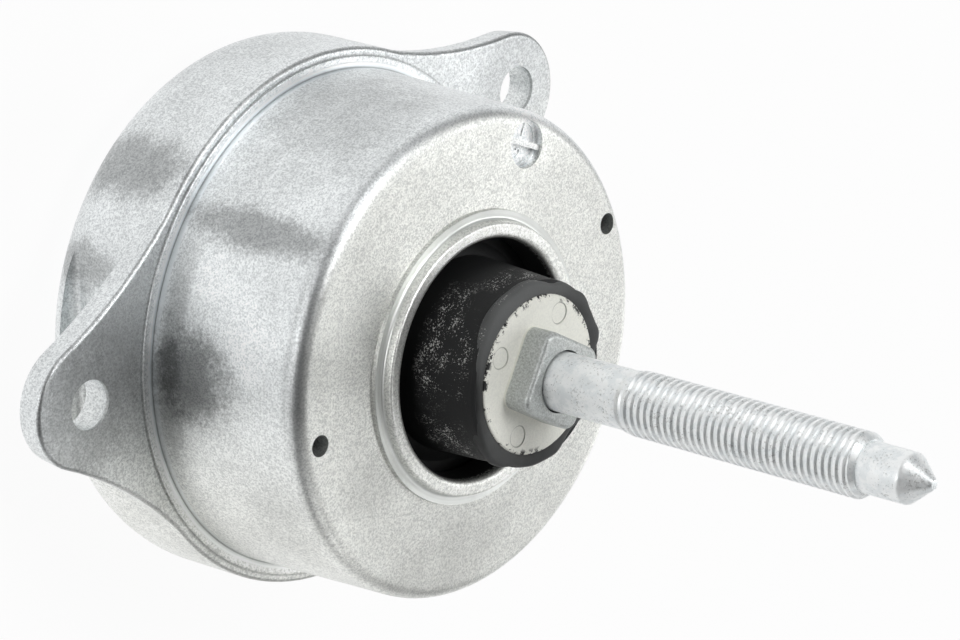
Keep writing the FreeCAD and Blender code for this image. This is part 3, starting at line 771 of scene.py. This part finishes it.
class MOUNT_OT_stud(bpy.types.Operator):
    """Roll the stud's thread and turn its shank and dog point"""

    bl_idname = "mount.stud"
    bl_label = "Stud"

    def execute(self, context):
        sizes = get_settings().stud
        bm = bmesh.new()
        self.roll_thread(bm, sizes)
        shank_top = sizes.thread_start + 0.02 * MM
        spin_profile(bm, [
            (0.0, sizes.foot), (sizes.shank, sizes.foot), (sizes.shank, shank_top),
            (0.0, shank_top)])
        dog_foot = sizes.thread_end - 0.05 * MM
        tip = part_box("stud")[1][2]
        spin_profile(bm, [
            (0.0, dog_foot), (sizes.dog, dog_foot), (sizes.dog, sizes.dog_end - 0.6 * MM),
            (sizes.dog - 0.08 * MM, sizes.dog_end - 0.25 * MM),
            (sizes.dog - 0.35 * MM, sizes.dog_end + 0.1 * MM),
            (1.2 * MM, tip - 0.5 * MM), (0.85 * MM, tip - 0.12 * MM), (0.4 * MM, tip), (0.0, tip)])
        material = bpy.data.materials["zinc plating"]
        piece = finish_piece(bm, "stud_thread", material, 32.0)
        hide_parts("stud")
        return {"FINISHED"}

    def roll_thread(self, bm, sizes):
        pitch = sizes.pitch
        low = sizes.thread_start - pitch
        turns = math.ceil((sizes.thread_end - low) / pitch) + 1
        # Share of the pitch, then radius, along root, flank and crest
        flank = ((0.0, sizes.root), (0.1, sizes.root), (0.36, sizes.crest), (0.74, sizes.crest))
        points = [(radius, low + (turn + share) * pitch)
                  for turn in range(turns) for share, radius in flank]
        verts = [bm.verts.new((radius, 0.0, height)) for radius, height in points]
        edges = [bm.edges.new(pair) for pair in zip(verts, verts[1:])]
        steps = 64
        bmesh.ops.spin(bm, geom=verts + edges, cent=(0, 0, 0), axis=UP, angle=math.tau,
                       steps=steps, dvec=(0.0, 0.0, pitch / steps), use_duplicate=False)
        bmesh.ops.remove_doubles(bm, verts=bm.verts, dist=1e-6)
        for height, outer in ((sizes.thread_start, False), (sizes.thread_end, True)):
            geometry = bm.verts[:] + bm.edges[:] + bm.faces[:]
            bmesh.ops.bisect_plane(bm, geom=geometry, dist=1e-7, plane_co=(0, 0, height),
                                   plane_no=UP, clear_outer=outer, clear_inner=not outer)
        run_out = 2.2 * pitch
        for vert in bm.verts:
            radius = math.hypot(vert.co.x, vert.co.y)
            grown = ease((vert.co.z - sizes.thread_start) / run_out)
            wanted = sizes.shank + (radius - sizes.shank) * grown
            chamfer = sizes.dog + 0.25 * MM + (sizes.thread_end - vert.co.z)
            wanted = min(wanted, chamfer)
            vert.co.x *= wanted / radius
            vert.co.y *= wanted / radius
        rims = [edge for edge in bm.edges if len(edge.link_faces) == 1]
        bmesh.ops.holes_fill(bm, edges=rims, sides=0)


# Bulges of the torn rim: place and width in degrees, then lift in ripples
RIM_BULGES = (
    (-150.0, 24.0, 2.0),
    (104.0, 38.0, 1.5),
    (80.0, 12.0, 0.7),
    (26.0, 12.0, 0.9),
    (-3.0, 9.0, 0.9),
    (165.0, 24.0, -2.0),
    (59.0, 12.0, -1.2),
    (-16.0, 9.0, -1.8),
    (-72.0, 18.0, -2.0),
)


class MOUNT_OT_sleeve_rim(bpy.types.Operator):
    """Mould the torn rubber rim round the core's disc"""

    bl_idname = "mount.sleeve_rim"
    bl_label = "Sleeve rim"

    def execute(self, context):
        sizes = get_settings().sleeve
        bm = bmesh.new()
        wall = sizes.outer
        spin_profile(bm, [
            (sizes.inner, sizes.back), (wall - 0.25 * MM, sizes.back),
            (wall + 0.05 * MM, sizes.back + 0.5 * MM), (wall + 0.15 * MM, sizes.front - 1.2 * MM),
            (wall + 0.1 * MM, sizes.front - 0.5 * MM), (wall - 0.15 * MM, sizes.front - 0.12 * MM),
            (wall - 0.6 * MM, sizes.front), (sizes.inner + 0.5 * MM, sizes.front - 0.05 * MM),
            (sizes.inner, sizes.front - 0.3 * MM), (sizes.inner, sizes.back)], steps=160)
        for vert in bm.verts:
            radius = math.hypot(vert.co.x, vert.co.y)
            turn = math.atan2(vert.co.y, vert.co.x)
            share = ease((radius - sizes.inner - 1.0 * MM) / (1.0 * MM))
            share *= ease((vert.co.z - sizes.back) / (2.0 * MM))
            wander = 0.22 * math.sin(7 * turn + 0.4) + 0.16 * math.sin(13 * turn + 2.0)
            for middle, width, lift in RIM_BULGES:
                gap = (turn - math.radians(middle) + math.pi) % math.tau - math.pi
                wander += lift * ease(1.0 - abs(gap) / math.radians(width))
            wanted = radius + sizes.ripple * wander * share
            vert.co.x *= wanted / radius
            vert.co.y *= wanted / radius
        piece = finish_piece(bm, "sleeve_rim", bpy.data.materials["rim rubber"], 50.0)
        return {"FINISHED"}


class MOUNT_OT_stamp(bpy.types.Operator):
    """Raise the figures in the date stamp"""

    bl_idname = "mount.stamp"
    bl_label = "Date stamp"

    def execute(self, context):
        sizes = get_settings().stamp
        centre = Vector((sizes.radius * math.cos(sizes.angle),
                         sizes.radius * math.sin(sizes.angle), sizes.floor))
        turn = Matrix.Rotation(sizes.turn + math.pi, 4, "Z")
        beside_bar = 2.2 * MM
        for name, figure, shift in (("stamp_upper", "1", beside_bar),
                                    ("stamp_lower", "2", -beside_bar)):
            curve = bpy.data.curves.new(name, "FONT")
            curve.body = figure
            curve.size = sizes.figure_size
            curve.extrude = sizes.relief
            curve.align_x = "CENTER"
            curve.align_y = "CENTER"
            text = bpy.data.objects.new(name, curve)
            context.collection.objects.link(text)
            context.view_layer.update()
            mesh = bpy.data.meshes.new_from_object(
                text.evaluated_get(context.evaluated_depsgraph_get()))
            bpy.data.objects.remove(text)
            mesh.transform(Matrix.Translation((0, shift, 0)))
            mesh.transform(Matrix.Translation(centre) @ turn)
            piece = bpy.data.objects.new(name, mesh)
            context.collection.objects.link(piece)
            mesh.materials.clear()
            mesh.materials.append(bpy.data.materials["nose casting"])
            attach(piece, "root")
        return {"FINISHED"}


# Soft boxes: name, azimuth and elevation in degrees, width in metres, power in watts
LAMPS = (
    ("top box", 60.0, 66.0, 0.5, 7.0),
    ("low front box", 150.0, 8.0, 0.4, 3.1),
    ("key box", -15.0, 38.0, 0.55, 2.8),
    ("key wing", -65.0, 38.0, 0.55, 1.4),
    ("high back box", -40.0, 60.0, 0.5, 1.2),
    ("side box", 80.0, 38.0, 0.55, 2.4),
    ("far side box", -110.0, 38.0, 0.55, 2.0),
    ("low back box", -40.0, 8.0, 0.4, 1.1),
)
LAMP_LIFT = 0.06
# Share of the floor's colour that is plain white where it is seen or mirrored
FLOOR_WHITE = 0.94
# Horizon glow that metal mirrors: its strength, and the rise at which it has faded
HAZE = 0.8
HAZE_TOP = 0.32


class MOUNT_OT_stage(bpy.types.Operator):
    """Set up the floor, the lamps and the camera"""

    bl_idname = "mount.stage"
    bl_label = "Stage"

    def execute(self, context):
        settings = get_settings().stage
        self.lay_floor(context, settings)
        self.light_world(context, settings)
        self.hang_lamps(context, settings)
        self.place_camera(context, settings)
        context.scene.view_settings.view_transform = "Standard"
        return {"FINISHED"}

    def lay_floor(self, context, settings):
        bm = bmesh.new()
        bmesh.ops.create_grid(bm, x_segments=1, y_segments=1, size=settings.floor_size / 2)
        mesh = bpy.data.meshes.new("floor")
        bm.to_mesh(mesh)
        bm.free()
        floor = bpy.data.objects.new("floor", mesh)
        context.collection.objects.link(floor)
        material = bpy.data.materials.new("white floor")
        material.use_nodes = True
        tree = material.node_tree
        shader = tree.nodes["Principled BSDF"]
        shader.inputs["Base Color"].default_value = (0.86, 0.86, 0.86, 1.0)
        shader.inputs["Roughness"].default_value = 0.9
        shader.inputs["Specular IOR Level"].default_value = 0.1
        glow = add_node(tree, "ShaderNodeEmission", {"Strength": 1.0})
        path = add_node(tree, "ShaderNodeLightPath").outputs
        seen = maths(tree, "MAXIMUM", path["Is Camera Ray"], path["Is Glossy Ray"])
        seen = maths(tree, "MAXIMUM", seen, path["Is Transmission Ray"])
        share = maths(tree, "MULTIPLY", seen, FLOOR_WHITE)
        mix = add_node(tree, "ShaderNodeMixShader", {0: share, 1: shader.outputs[0],
                                                     2: glow.outputs[0]})
        tree.links.new(mix.outputs[0], tree.nodes["Material Output"].inputs["Surface"])
        mesh.materials.append(material)

    def light_world(self, context, settings):
        world = bpy.data.worlds.new("studio")
        world.use_nodes = True
        back = world.node_tree.nodes["Background"]
        back.inputs["Color"].default_value = (1.0, 1.0, 1.0, 1.0)
        tree = world.node_tree
        spot = add_node(tree, "ShaderNodeTexCoord").outputs["Generated"]
        rise = add_node(tree, "ShaderNodeSeparateXYZ", {0: spot}).outputs[2]
        haze = map_range(tree, rise, 0.0, HAZE_TOP, HAZE, settings.fill)
        path = add_node(tree, "ShaderNodeLightPath").outputs
        strength = mix_value(tree, path["Is Glossy Ray"], settings.fill, haze)
        strength = mix_value(tree, path["Is Camera Ray"], strength, 1.0)
        tree.links.new(strength, back.inputs["Strength"])
        context.scene.world = world

    def hang_lamps(self, context, settings):
        for name, azimuth, height, size, power in LAMPS:
            lamp = bpy.data.lights.new(name, "AREA")
            lamp.shape = "SQUARE"
            lamp.size = size
            lamp.energy = power
            holder = bpy.data.objects.new(name, lamp)
            turn = math.radians(azimuth)
            rise = math.radians(height)
            place = Vector((math.cos(turn) * math.cos(rise), math.sin(turn) * math.cos(rise),
                            math.sin(rise))) * settings.lamp_reach
            holder.location = place + UP * LAMP_LIFT
            holder.rotation_euler = (-place).to_track_quat("-Z", "Y").to_euler()
            context.collection.objects.link(holder)

    def place_camera(self, context, settings):
        camera = bpy.data.cameras.new("camera")
        camera.lens = settings.lens
        camera.sensor_width = 36.0
        camera.clip_start = 0.05
        camera.clip_end = 50.0
        holder = bpy.data.objects.new("camera", camera)
        place = Vector(settings.camera_place)
        sight = Vector(settings.camera_aim) - place
        level = sight.to_track_quat("-Z", "Y")
        roll = Quaternion((0.0, 0.0, 1.0), settings.camera_roll)
        holder.matrix_world = Matrix.Translation(place) @ (level @ roll).to_matrix().to_4x4()
        context.collection.objects.link(holder)
        context.scene.camera = holder


class MOUNT_PT_panel(bpy.types.Panel):
    """Lists the steps that dress the mount"""

    bl_idname = "MOUNT_PT_panel"
    bl_label = "Engine mount"
    bl_space_type = "VIEW_3D"
    bl_region_type = "UI"
    bl_category = "Mount"

    def draw(self, context):
        for operator in STEPS:
            self.layout.operator(operator.bl_idname)


STEPS = (MOUNT_OT_finishes, MOUNT_OT_stud, MOUNT_OT_sleeve_rim, MOUNT_OT_stamp, MOUNT_OT_stage)
CLASSES = (StudSizes, SleeveSizes, StampSizes, FinishColours, StageSettings, MountSettings,
           *STEPS, MOUNT_PT_panel)


def register():
    for item in CLASSES:
        bpy.utils.register_class(item)
    bpy.types.Scene.mount = bpy.props.PointerProperty(
        name="Mount", description="Settings of the engine mount", type=MountSettings)


def unregister():
    del bpy.types.Scene.mount
    for item in reversed(CLASSES):
        bpy.utils.unregister_class(item)


def main():
    register()
    for step in STEPS:
        group, call = step.bl_idname.split(".")
        getattr(getattr(bpy.ops, group), call)()


if __name__ == "__main__":
    main()
